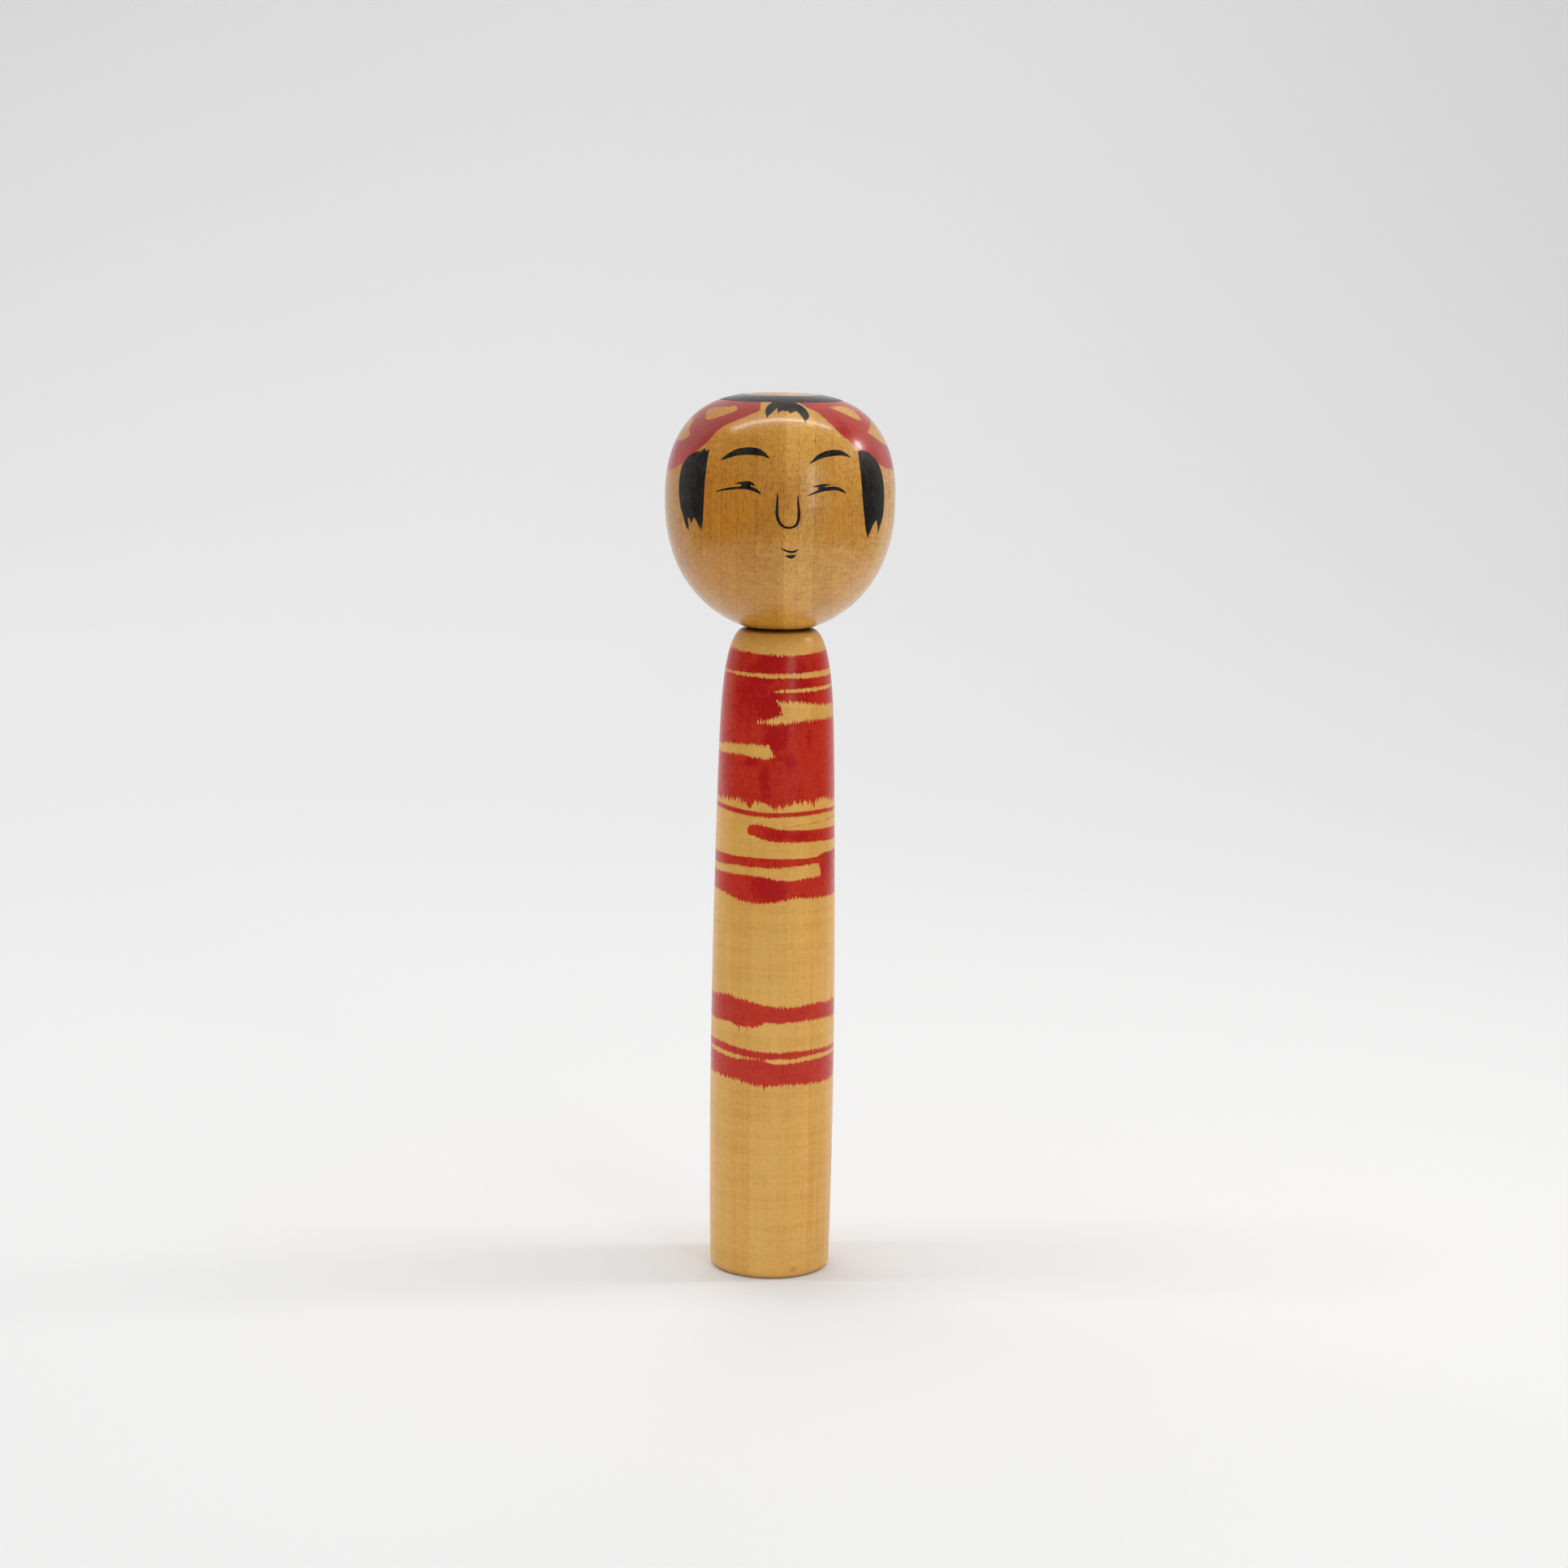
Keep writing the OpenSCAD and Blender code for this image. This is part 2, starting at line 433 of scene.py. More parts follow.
# Soft round marks: azimuth, height or drop, half width in degrees, half height and strength. First those
# where wet strokes overlapped and the dye pooled
POOLS = [
    (-16, 169.5, 12, 5, 1), (-4, 170.5, 8, 3.5, 1), (22, 165.5, 14, 4.5, 0.9),
    (-12, 158.5, 16, 5, 1), (-30, 163, 20, 9, 0.55), (-8, 149.5, 10, 5, 0.9),
    (-30, 143.6, 8, 1.2, 0.8), (-16, 139, 5, 6, 0.8), (10, 144, 4, 2, 0.9), (4, 152, 5, 4, 0.6),
    (30, 150, 4, 3, 0.7), (-10, 109.8, 14, 4, 1), (-2, 124, 14, 2, 0.7),
    (20, 123.6, 12, 1.4, 0.7), (60, 117, 14, 5, 0.5), (150, 160, 40, 8, 0.9),
    (-150, 140, 30, 9, 0.8), (120, 110, 20, 4, 0.8),
]

# Where the body's wood is darker: painted shade round its top just under the head, and wood darker with age
# lower down
BODY_AMBER_AND_SHADE = [
    (-20, 179, 60, 5, 0.75), (60, 179, 60, 2.5, 0.5), (180, 179, 80, 4, 0.6), (-20, 50, 20, 5, 0.25),
    (20, 2.7, 4, 0.7, 0.9),
]

# Every band is above this height, and every ornament is between these two drops
BANDS_FROM = 40
ORNAMENTS_FROM, ORNAMENTS_TO = 5, 60


def fibre_area(azimuth, base, tip, width):
    """A narrow pointed area along the grain."""
    half = math.degrees(width / 2 / float(body_radius(base)))
    return np.array([(azimuth - half, base), (azimuth + half, base), (azimuth, tip)])


def blobs(azimuth, place, marks):
    """A soft map from 0 to 1 of round marks: azimuth, place, half width in degrees, half height, strength."""
    total = np.zeros(len(azimuth))
    for mark_azimuth, mark_place, wide, tall, strength in marks:
        away = (azimuth - mark_azimuth + 180) % 360 - 180
        total = np.maximum(total, strength * np.exp(-(away / wide) ** 2 - ((place - mark_place) / tall) ** 2))
    return total


def paint_body(piece, azimuth, ring, line, painted_rings):
    """Stores how deep each vertex lies in the red dye, how ragged the edge is and how much dye pooled."""
    radius, height = line[ring].T
    depth = np.full(len(azimuth), UNPAINTED)
    teeth = np.ones(len(azimuth))
    pool = np.zeros(len(azimuth))
    side = (ring < painted_rings) & (height > BANDS_FROM)
    az, z, r = azimuth[side], height[side], radius[side]
    red, ragged = depth[side], teeth[side]

    def brush_on(inside, edge):
        ragged[:] = np.where(inside > red, edge, ragged)
        red[:] = np.maximum(red, inside)

    for top, bottom, top_teeth, bottom_teeth in BANDS:
        above, below = edge_height(az, top) - z, z - edge_height(az, bottom)
        brush_on(np.minimum(above, below), np.where(above < below, top_teeth, bottom_teeth))
    brush_on(area_depth(az, z, r, LONG_STROKE), STROKE_TEETH)
    for edge, *sides in BARE:
        missed = -area_depth(az, z, r, outline(*sides))
        ragged[:] = np.where(missed < red, edge, ragged)
        red[:] = np.minimum(red, missed)
    for fibre in BLED_FIBRES:
        brush_on(area_depth(az, z, r, fibre_area(*fibre)), FIBRE_TEETH)
    brush_on(np.minimum(area_depth(az, z, r, FAINT_LINE), FAINT_DEPTH), FIBRE_TEETH)
    depth[side], teeth[side] = red, ragged
    pool[side] = blobs(az, z, POOLS)
    amber_and_shade = blobs(azimuth, height, BODY_AMBER_AND_SHADE) * (ring < painted_rings)
    give(piece, "red_depth", depth)
    give(piece, "red_teeth", teeth)
    give(piece, "red_pool_and_shade", pool)
    give(piece, "amber_and_shade", amber_and_shade)


# ---------------- the head's red hair ornaments

# A drop for the neck and the tenon, further down than any mark on the head
BELOW_SEAT = 200.0

# The crown's inked ring, and the thin brown ring burnt inside it
RING_INNER = 10.4
RING_OUTER = 16.7
BROWN_RING = 7.3
BROWN_RING_W = 1.4

# Each ornament starts by the forelock and fans out backwards in two strokes, with a bare petal in the upper
LEFT_ORNAMENT = outline(
    [(-24, 16), (-60, 16), (-110, 16.4)],
    [(-118, 19.5), (-120, 22.5), (-115, 25.6), (-98, 26), (-78, 26.2), (-72, 29.6), (-66, 31.3)],
    [(-72.5, 32.8), (-86, 33.3), (-105, 34.8), (-114, 37.8), (-107, 41), (-90, 41.9), (-76, 41.2),
     (-69, 40), (-62, 38.5), (-54.5, 35.6), (-50, 33.8), (-46.8, 31.9), (-44.2, 29.6), (-40.7, 27.7),
     (-30.2, 24.7), (-19.7, 21.3)],
)
LEFT_PETAL = outline(
    [(-70.8, 22.2), (-65, 20.9), (-50, 20.2), (-43.6, 19.4)],
    [(-38.6, 21.1), (-41.6, 22.8), (-52.4, 25.2), (-58.6, 25.8), (-64.5, 24.6), (-70.8, 22.2)],
)
RIGHT_ORNAMENT = outline(
    [(10, 16), (60, 16), (108, 16.4)],
    [(116, 19.6), (118, 22.6), (113, 25.2), (96, 25.4), (81, 25.5), (62, 28.2), (55.5, 29.6)],
    [(59.5, 30.6), (64.5, 32), (70, 33.2), (86, 34.6), (104, 35.8), (112, 38.2), (105, 41), (90, 41.5),
     (75, 40.7), (59.5, 39.4), (53.7, 37.8), (49, 35.9), (41, 34.4), (36.7, 32), (31.9, 29.8),
     (26.2, 25.2), (21.9, 21.8), (15.8, 19.5), (10, 16)],
)
RIGHT_PETAL = outline(
    [(36.2, 19.6), (45, 19.1), (53, 19.5), (60, 20.4), (62, 21.9)],
    [(60.6, 23.9), (59.2, 25.2), (52.2, 24.8), (44, 22.2), (36.2, 19.6)],
)

# Where the head's wood is darker with age and where its red dried dark; both lists also hold painted shade
# over the head's left side and its left ornament
AMBER_AND_SHADE = [
    (-41, 49, 8, 15, 1), (-28, 53, 14, 16, 0.8), (-14, 51, 11, 9, 0.6), (-22, 46, 14, 6, 0.5),
    (26, 50, 15, 13, 0.55), (0, 48, 8, 9, 0.6), (-60, 27, 24, 14, 0.8), (-36, 20, 18, 8, 0.3),
    (-42, 68, 18, 10, 0.6),
]
DARK_RED_AND_SHADE = [(-45, 24, 60, 14, 1), (70, 34, 26, 6, 0.3)]


def paint_head(piece, azimuth, ring, line, drops):
    """Stores how deep each vertex lies in the red dye and in the brown ring, and where the wood and the red
    are darker with age and with painted shade.
    """
    radius = line[ring][:, 0]
    drop = drops[ring]
    depth = np.full(len(azimuth), UNPAINTED)
    near = (drop > ORNAMENTS_FROM) & (drop < ORNAMENTS_TO)
    az, d, r = azimuth[near], drop[near], radius[near]
    left = np.minimum(area_depth(az, d, r, LEFT_ORNAMENT), -area_depth(az, d, r, LEFT_PETAL))
    right = np.minimum(area_depth(az, d, r, RIGHT_ORNAMENT), -area_depth(az, d, r, RIGHT_PETAL))
    depth[near] = np.maximum(left, right)
    give(piece, "red_depth", depth)
    give(piece, "red_teeth", np.full(len(azimuth), HEAD_TEETH))
    give(piece, "red_pool_and_shade", blobs(azimuth, drop, DARK_RED_AND_SHADE))
    give(piece, "amber_and_shade", blobs(azimuth, drop, AMBER_AND_SHADE))
    give(piece, "brown_depth", BROWN_RING_W / 2 - np.abs(drop - BROWN_RING))


# ---------------- black ink, as films on the head

# How far a film stands over the wood and reaches into it, its mesh's spacing and a circle's points
INK_LIFT = 0.035
INK_SUNK = 0.06
INK_GRID = 0.7
CIRCLE_POINTS = 180

# Each film is made of closed outlines, or of strokes that are curves of (azimuth, drop, width)
INK = {
    "forelock": [outline(
        [(-9, 15), (-11.5, 16.2), (-13.4, 17.2), (-15.1, 18.6), (-16.1, 20.2), (-15.9, 21.8),
         (-14.8, 23.2), (-13.2, 24.4)],
        [(-12.9, 23.4), (-11.2, 22.4), (-7.6, 19.9)],
        [(-7.3, 21), (-6.5, 22.4)],
        [(-5.1, 21.5), (-2.8, 21)],
        [(-1.2, 21.8), (-0.2, 21.2), (0.6, 21.5), (1.8, 22.6)],
        [(2.3, 21.9), (3, 22.5), (3.9, 21.9), (6.9, 21.3)],
        [(8.5, 22.7), (10, 24.3), (11.1, 26.3)],
        [(11.4, 25), (12.5, 24.9)],
        [(14, 24.2), (14.9, 23), (14.8, 21.5), (13.9, 19.9), (12.2, 18.6), (9.4, 17.3), (7, 15)],
    )],
    "sidelock_left": [outline(
        [(-44.9, 34.5), (-44.5, 37.2), (-44.2, 40.8), (-44.3, 44.3), (-44.4, 47.8), (-44.8, 51.4),
         (-45.8, 56.6)],
        [(-46.2, 54.2), (-46.8, 56.2)],
        [(-47.8, 55.3), (-48.9, 54.4), (-51.1, 53), (-52.2, 53.6), (-53.4, 54.6)],
        [(-54.2, 53.5), (-56.2, 53)],
        [(-55.8, 55.3), (-56, 56.7)],
        [(-57.9, 55.6), (-60.6, 52.3), (-62.5, 50), (-64.1, 46.3), (-64.3, 42.8), (-63.6, 39.6),
         (-61.4, 38), (-58.2, 36.6), (-53, 35.4)],
        [(-50.9, 35.6), (-49.2, 34.8)],
        [(-47.8, 34.5), (-46.8, 35.3)],
        [(-46.1, 35.2), (-44.9, 34.5)],
    )],
    "sidelock_right": [outline(
        [(40, 35.4), (41.2, 34.6), (46.6, 34.8), (50.6, 36.1), (54.4, 37.8), (56.6, 40),
         (57.8, 43), (58.3, 47), (57.9, 51), (56.7, 53.5), (55.1, 55.3), (54.2, 57.2)],
        [(53.4, 55.5), (51.2, 53.1)],
        [(48.7, 54.5), (46.8, 56.3), (45.5, 58)],
        [(44.8, 57.1), (43.2, 55.5), (41.8, 52.7), (40.3, 48.8), (39.6, 44.6), (39.4, 41),
         (39.6, 37.8), (40, 35.4)],
    )],
    "brow_left": [[
        (-36, 37.4, 0.15), (-33.5, 36.6, 0.95), (-31, 35.9, 1.35), (-27.1, 35.1, 1.85),
        (-22, 34.7, 2.05), (-17, 34.8, 1.95), (-13.7, 35.3, 1.3), (-11.7, 35.9, 0.7),
        (-10, 36.6, 0.15),
    ]],
    "brow_right": [[
        (10.4, 37.8, 0.15), (12.7, 37, 0.7), (15.6, 36, 1.2), (19.9, 35.3, 1.6), (23.8, 35, 1.7),
        (28, 35, 1.45), (31.2, 35.5, 0.95), (34.2, 36.3, 0.15),
    ]],
    "eye_left": [
        [(-37.2, 45.7, 0.2), (-30.9, 44.9, 0.55), (-25.5, 44.5, 0.6), (-20.2, 44.4, 0.9),
         (-17, 44.8, 0.85), (-14.9, 45.4, 0.6), (-13.6, 46, 0.15)],
        [(-26.8, 43.3, 0.12), (-24, 43.2, 0.55), (-20.9, 43, 0.7), (-18.5, 43.2, 0.7),
         (-16.9, 43.8, 0.35)],
        [(-23.6, 43.7, 0.5), (-21.3, 43.9, 1.15), (-18.8, 43.8, 0.85)],
    ],
    "eye_right": [
        [(9, 46.2, 0.15), (12.4, 45.5, 0.5), (16, 44.8, 0.8), (20.1, 44.4, 1),
         (23.7, 44.4, 0.92), (26.9, 44.9, 0.78), (29.3, 45.7, 0.15)],
        [(11.5, 43.9, 0.12), (14.4, 43.7, 0.55), (17.1, 43.5, 0.7), (20.6, 43.4, 0.2)],
        [(14.4, 44.2, 0.6), (16.5, 44.4, 1.1), (18.4, 44.3, 0.85)],
    ],
    "nose": [[
        (-5.6, 45.4, 0.15), (-5.6, 47.2, 0.5), (-5.7, 49.8, 0.75), (-5.7, 51.1, 0.8),
        (-5.1, 52.4, 0.78), (-4.1, 53.5, 0.7), (-2.3, 54.3, 0.62), (-0.1, 54.6, 0.56),
        (2.1, 54.4, 0.58), (3.7, 53.8, 0.66), (4.6, 52.7, 0.74), (4.9, 51.5, 0.76), (4.8, 50, 0.7),
        (4.5, 48.3, 0.55), (4.3, 46.1, 0.2),
    ]],
    "mouth": [
        outline(
            [(-1.5, 62.1), (1.2, 61.95), (4.3, 61.8)],
            [(3.9, 62.3), (3, 62.75), (1.5, 62.95), (-0.1, 62.65), (-1.5, 62.1)],
        ),
        [(-3.8, 60, 0.15), (-2.1, 60.5, 0.45), (-0.2, 60.9, 0.56), (1.6, 61.1, 0.6),
         (3.6, 60.9, 0.55), (5.3, 60.3, 0.15)],
    ],
}


class HeadSurface:
    """The head's outside, looked up by its distance from the middle of the crown."""

    def __init__(self, line):
        steps = np.hypot(*np.diff(line, axis=0).T)
        along = np.concatenate([[0], np.cumsum(steps)])
        self.drops = along[-1] - along
        self.line = line
        slope = np.gradient(line, along, axis=0)
        self.normal = np.column_stack([slope[:, 1], -slope[:, 0]])
        self.normal /= np.hypot(*self.normal.T)[:, None]

    def look_up(self, drop, values):
        return np.interp(drop, self.drops[::-1], values[::-1])

    def radius(self, drop):
        return self.look_up(drop, self.line[:, 0])

    def point(self, azimuth, drop, lift):
        """A point over the surface, in millimetres, and the surface's direction there."""
        out = self.look_up(drop, self.normal[:, 0])
        up = self.look_up(drop, self.normal[:, 1])
        radius = self.radius(drop) + lift * out
        height = self.look_up(drop, self.line[:, 1]) + lift * up
        turn = math.radians(azimuth)
        x, y = math.sin(turn), -math.cos(turn)
        return Vector((radius * x, radius * y, height)), Vector((out * x, out * y, up)).normalized()


def stroke_outline(surface, stroke):
    """The closed outline of a brush stroke of changing width, with pointed or blunt ends."""
    azimuth, drop, width = bend(*stroke, steps=6).T
    to_mm = np.radians(surface.radius(drop))
    across, down = np.gradient(azimuth) * to_mm, np.gradient(drop)
    length = np.hypot(across, down)
    side_az = -down / length * width / 2 / to_mm
    side_drop = across / length * width / 2
    one = np.column_stack([azimuth + side_az, drop + side_drop])
    other = np.column_stack([azimuth - side_az, drop - side_drop])
    return np.vstack([one, other[::-1]])


def flat(places):
    """Places on the head laid out on a plane round the middle of the crown."""
    turn = np.radians(places[:, 0])
    return np.column_stack([places[:, 1] * np.sin(turn), -places[:, 1] * np.cos(turn)])


def contains(area, points):
    """Which points of the plane lie inside a closed area."""
    return inside_by(points[:, 0], points[:, 1], math.degrees(1), area) > 0


def ink_film(name, surface, areas, holes=()):
    """A thin closed film of ink that follows the head inside the areas and outside the holes."""
    areas = [flat(area) for area in areas]
    holes = [flat(hole) for hole in holes]
    points, edges = [], []
    for line in areas + holes:
        first = len(points)
        points += list(line)
        edges += [(first + i, first + (i + 1) % len(line)) for i in range(len(line))]
    low, high = np.min(points, axis=0), np.max(points, axis=0)
    columns = np.arange(low[0], high[0], INK_GRID)
    rows = np.arange(low[1], high[1], INK_GRID)
    grid = np.array([(x, y) for x in columns for y in rows]).reshape(-1, 2)
    points += list(grid[covered(grid, areas, holes)])
    made = delaunay_2d_cdt([Vector(p) for p in points], edges, [], 0, 1e-5)
    spots = np.array([tuple(v) for v in made[0]])
    triangles = np.array([f for f in made[2] if len(f) == 3])
    triangles = triangles[covered(spots[triangles].mean(axis=1), areas, holes)]
    return film_piece(name, surface, spots, triangles)


def covered(points, areas, holes):
    """Which points lie inside any of the areas and outside all the holes."""
    inside = np.any([contains(area, points) for area in areas], axis=0)
    for hole in holes:
        inside &= ~contains(hole, points)
    return inside


def film_piece(name, surface, spots, triangles):
    """The closed mesh of a film: its top over the wood, its underside just in the wood, and its rim."""
    used, numbered = np.unique(triangles, return_inverse=True)
    numbered = numbered.reshape(triangles.shape)
    count = len(used)
    tops, undersides, normals = [], [], []
    for x, y in spots[used]:
        azimuth, drop = math.degrees(math.atan2(x, -y)), math.hypot(x, y)
        point, normal = surface.point(azimuth, drop, INK_LIFT)
        tops.append(point * MM)
        normals.append(normal)
        undersides.append(surface.point(azimuth, drop, -INK_SUNK)[0] * MM)
    facing = [tuple(t) for t in numbered]
    first = facing[0]
    side = (tops[first[1]] - tops[first[0]]).cross(tops[first[2]] - tops[first[0]])
    if side.dot(normals[first[0]]) < 0:
        facing = [t[::-1] for t in facing]
    directed = {(t[i], t[(i + 1) % 3]) for t in facing for i in range(3)}
    rim = sorted(edge for edge in directed if edge[::-1] not in directed)
    faces = list(facing)
    faces += [tuple(count + i for i in t[::-1]) for t in facing]
    faces += [(b, a, count + a, count + b) for a, b in rim]
    piece = add_mesh(name, tops + undersides, faces)
    piece.data.shade_smooth()
    given = []
    for polygon in piece.data.polygons:
        on_top = polygon.index < len(facing)
        given += [normals[i] if on_top else polygon.normal.copy() for i in polygon.vertices]
    piece.data.normals_split_custom_set(given)
    return piece


def circle(drop, wobble):
    """A round line about the crown's middle, drawn by a slightly unsteady brush."""
    azimuth = np.linspace(-180, 180, CIRCLE_POINTS, endpoint=False)
    unsteady = wobble * (np.sin(np.radians(3 * azimuth + 40)) + 0.6 * np.sin(np.radians(7 * azimuth)))
    return np.column_stack([azimuth, drop + unsteady])


def add_ink(surface, material):
    """All the ink: the ring on the crown, the hair, the brows, the eyes, the nose and the mouth."""
    outer, inner = circle(RING_OUTER, wobble=0.07), circle(RING_INNER, wobble=0.05)
    films = [ink_film("crown_ring", surface, [outer], [inner])]
    for name, marks in INK.items():
        areas = [mark if len(mark[0]) == 2 else stroke_outline(surface, mark) for mark in marks]
        films.append(ink_film(name, surface, areas))
    for film in films:
        film.data.materials.append(material)
        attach(film, "head")


# ---------------- materials


# The noises that the materials are made of: how wide a mark is across the billet and how long up it, where
# the noise is cut, and its detail, roughness and distortion
NOISES = {
    "bend": (25, 160, (0, 0, 0), 2.0, 0.5, 0.0),
    "broad": (14, 60, (0, 0, 0), 2.0, 0.5, 0.0),
    "streak": (1.1, 60, (9, 0, 0), 3.0, 0.5, 0.0),
    "fibre": (0.24, 7.0, (0, 0, 0), 2.0, 0.6, 0.0),
    "pore": (0.30, 1.6, (0, 31, 7), 1.0, 0.4, 0.0),
    "speck": (0.45, 0.6, (11, 3, 0), 1.0, 0.5, 0.0),
    "turned": (400, 0.35, (0, 0, 0), 2.0, 0.6, 0.0),
    "hoops": (45, 2.2, (0, 0, 12), 2.0, 0.6, 0.0),
    "curl": (3.6, 0.8, (3, 5, 0), 2.0, 0.5, 0.4),
    "curly": (9, 30, (0, 0, 0), 2.0, 0.5, 0.0),
    "rubbed": (6, 9, (60, 0, 0), 3.0, 0.6, 0.0),
    "long_teeth": (0.65, 9, (0, 17, 0), 1.0, 0.5, 0.0),
    "short_teeth": (0.24, 4, (5, 0, 3), 0.0, 0.5, 0.0),
    "blotch": (4.5, 8, (0, 40, 0), 2.0, 0.6, 0.0),
    "dab": (0.8, 2.0, (0, 70, 0), 3.0, 0.6, 0.0),
    "scrub": (6, 0.6, (20, 0, 0), 2.0, 0.6, 0.0),
    "thin_ink": (0.5, 5.0, (0, 0, 0), 3.0, 0.6, 0.0),
    "worn_ink": (2.5, 4.0, (7, 0, 0), 3.0, 0.6, 0.0),
    "ink_speck": (0.30, 0.45, (3, 0, 0), 1.0, 0.5, 0.0),
    "cloud": (400, 400, (0, 0, 0), 1.0, 0.5, 0.0),
    "shade": (90, 90, (0, 0, 0), 2.0, 0.5, 0.0),
}

# The pith lies far off to the side, so the yearly rings cross the front as upright lines; from this
# distance on the wood is older and darker
PITH = (260.0, -45.0, 0.0)
RING_SPACING = 5.0
RING_UNEVENNESS = 0.45
OLD_WOOD_FROM = 261.0
OLD_WOOD_FADE = 0.8


class Look:
    """One material, with short ways to add its nodes."""

    def __init__(self, name):
        self.material = bpy.data.materials.new(name)
        self.material.use_nodes = True
        self.tree = self.material.node_tree
        self.tree.nodes.clear()
        self.shader = self.tree.nodes.new("ShaderNodeBsdfPrincipled")
        output = self.tree.nodes.new("ShaderNodeOutputMaterial")
        self.tree.links.new(self.shader.outputs["BSDF"], output.inputs["Surface"])
        self.place = self.vector("MULTIPLY", self.add("TexCoord", {})["Object"], (1 / MM, 1 / MM, 1 / MM))
        self.made = {}

    def put(self, socket, value):
        """Links a socket's output, or sets a plain number or colour."""
        if isinstance(value, bpy.types.NodeSocket):
            self.tree.links.new(value, socket)
        elif isinstance(value, tuple) and socket.type == "RGBA":
            socket.default_value = (*value, 1.0)
        else:
            socket.default_value = value

    def add(self, kind, inputs, **settings):
        """The outputs of a new node whose settings are made and whose inputs are linked or set."""
        node = self.tree.nodes.new("ShaderNode" + kind)
        for name, value in settings.items():
            setattr(node, name, value)
        for name, value in inputs.items():
            self.put(node.inputs[name], value)
        return node.outputs

    def surface(self, inputs):
        """The material, once the shader's inputs are linked or set."""
        for name, value in inputs.items():
            self.put(self.shader.inputs[name], value)
        return self.material

    def vector(self, operation, *values):
        return self.add("VectorMath", dict(enumerate(values)), operation=operation)[0]

    def math(self, operation, *values):
        return self.add("Math", dict(enumerate(values)), operation=operation)[0]

    def marks(self, name, away=(0, 0, 0)):
        """One of the noises listed above, which may be moved to be cut somewhere else."""
        if (name, away) not in self.made:
            width, length, start, detail, roughness, distortion = NOISES[name]
            moved = self.vector("ADD", self.place, tuple(a + b for a, b in zip(start, away)))
            self.made[name, away] = self.add("TexNoise", {
                "Vector": self.vector("MULTIPLY", moved, (1 / width, 1 / width, 1 / length)),
                "Scale": 1.0,
                "Detail": detail,
                "Roughness": roughness,
                "Distortion": distortion,
            })["Fac"]
        return self.made[name, away]

    def weighed(self, weights):
        """The sum of some noises, each with its weight."""
        total = 0.0
        for name, weight in weights.items():
            total = self.math("MULTIPLY_ADD", self.marks(name), weight, total)
        return total

    def part(self, vector, axis):
        return self.add("SeparateXYZ", {0: vector})[axis]

    def ramp(self, value, low, high, to_low=0.0, to_high=1.0):
        """Maps low..high to another range, smoothly and with its ends held."""
        ends = {"From Min": low, "From Max": high, "To Min": to_low, "To Max": to_high}
        return self.add("MapRange", {"Value": value, **ends}, interpolation_type="SMOOTHSTEP")["Result"]

    def mix(self, share, a, b, mode="MIX"):
        return self.add("Mix", {"Factor": share, 6: a, 7: b}, data_type="RGBA", blend_type=mode)[2]

    def darken(self, colour, share, tint):
        """The colour, multiplied by a tint where the share is 1."""
        return self.mix(share, colour, self.mix(1.0, colour, tint, "MULTIPLY"))

    def stored(self, name):
        return self.add("Attribute", {}, attribute_name=name)["Fac"]

    def growth_rings(self, wander):
        """The distance from a far-off pith, a random tone for each yearly ring and how near its edge is."""
        bent = self.math("MULTIPLY", self.math("SUBTRACT", self.marks("bend"), 0.5), wander)
        across = self.vector("MULTIPLY", self.vector("SUBTRACT", self.place, PITH), (1.0, 1.0, 0.0))
        distance = self.math("ADD", self.add("VectorMath", {0: across}, operation="LENGTH")["Value"], bent)
        rings = self.math("DIVIDE", distance, RING_SPACING)
        cells = {"W": rings, "Scale": 1.0, "Randomness": RING_UNEVENNESS}
        tone, edge = [
            self.add("TexVoronoi", cells, voronoi_dimensions="1D", feature=feature)
            for feature in ("F1", "DISTANCE_TO_EDGE")
        ]
        return distance, self.part(tone["Color"], "X"), edge["Distance"]

    def bump(self, height, depth):
        """Relief of the given depth in millimetres."""
        return self.add("Bump", {"Strength": 1.0, "Distance": depth * MM, "Height": height})["Normal"]


# What differs between the two pieces of wood: their colours, the strength of their marks and their finish
BODY_WOOD = {
    "pale": (0.82, 0.47, 0.118),
    "deep": (0.69, 0.355, 0.062),
    "aged_and_shaded": (0.56, 0.25, 0.035),
    "old": 0.0,
    "wander": 6.0,
    "line": 0.05,
    "pore": 0.18,
    "speck": 0.18,
    "fibre": 0.35,
    "turned": 0.35,
    "curl": 0.28,
    "curly_at": (50, 0, 0),
    "hoops": 0.55,
    "red": (0.53, 0.024, 0.005),
    "deep_red": (0.42, 0.001, 0.0002),
    "pooling_and_shade": 0.40,
    "roughness": (0.34, 0.46),
    "dye_gloss": -0.13,
    "coat": 0.48,
    "coat_roughness": 0.28,
    "shine": 0.10,
    "polish": 1.0,
    "relief": 0.015,
    "brown_ring": False,
}
HEAD_WOOD = {
    "pale": (0.76, 0.412, 0.088),
    "deep": (0.55, 0.250, 0.026),
    "aged_and_shaded": (0.56, 0.205, 0.002),
    "old": 0.22,
    "wander": 0.8,
    "line": 0.60,
    "pore": 0.80,
    "speck": 0.80,
    "fibre": 0.55,
    "turned": 0.35,
    "curl": 0.90,
    "curly_at": (0, 0, 0),
    "hoops": 0.35,
    "red": (0.48, 0.018, 0.004),
    "deep_red": (0.31, 0.010, 0.002),
    "pooling_and_shade": 0.35,
    "roughness": (0.27, 0.38),
    "dye_gloss": 0.0,
    "coat": 0.50,
    "coat_roughness": 0.16,
    "shine": 0.38,
    "polish": 0.75,
    "relief": 0.026,
    "brown_ring": True,
}

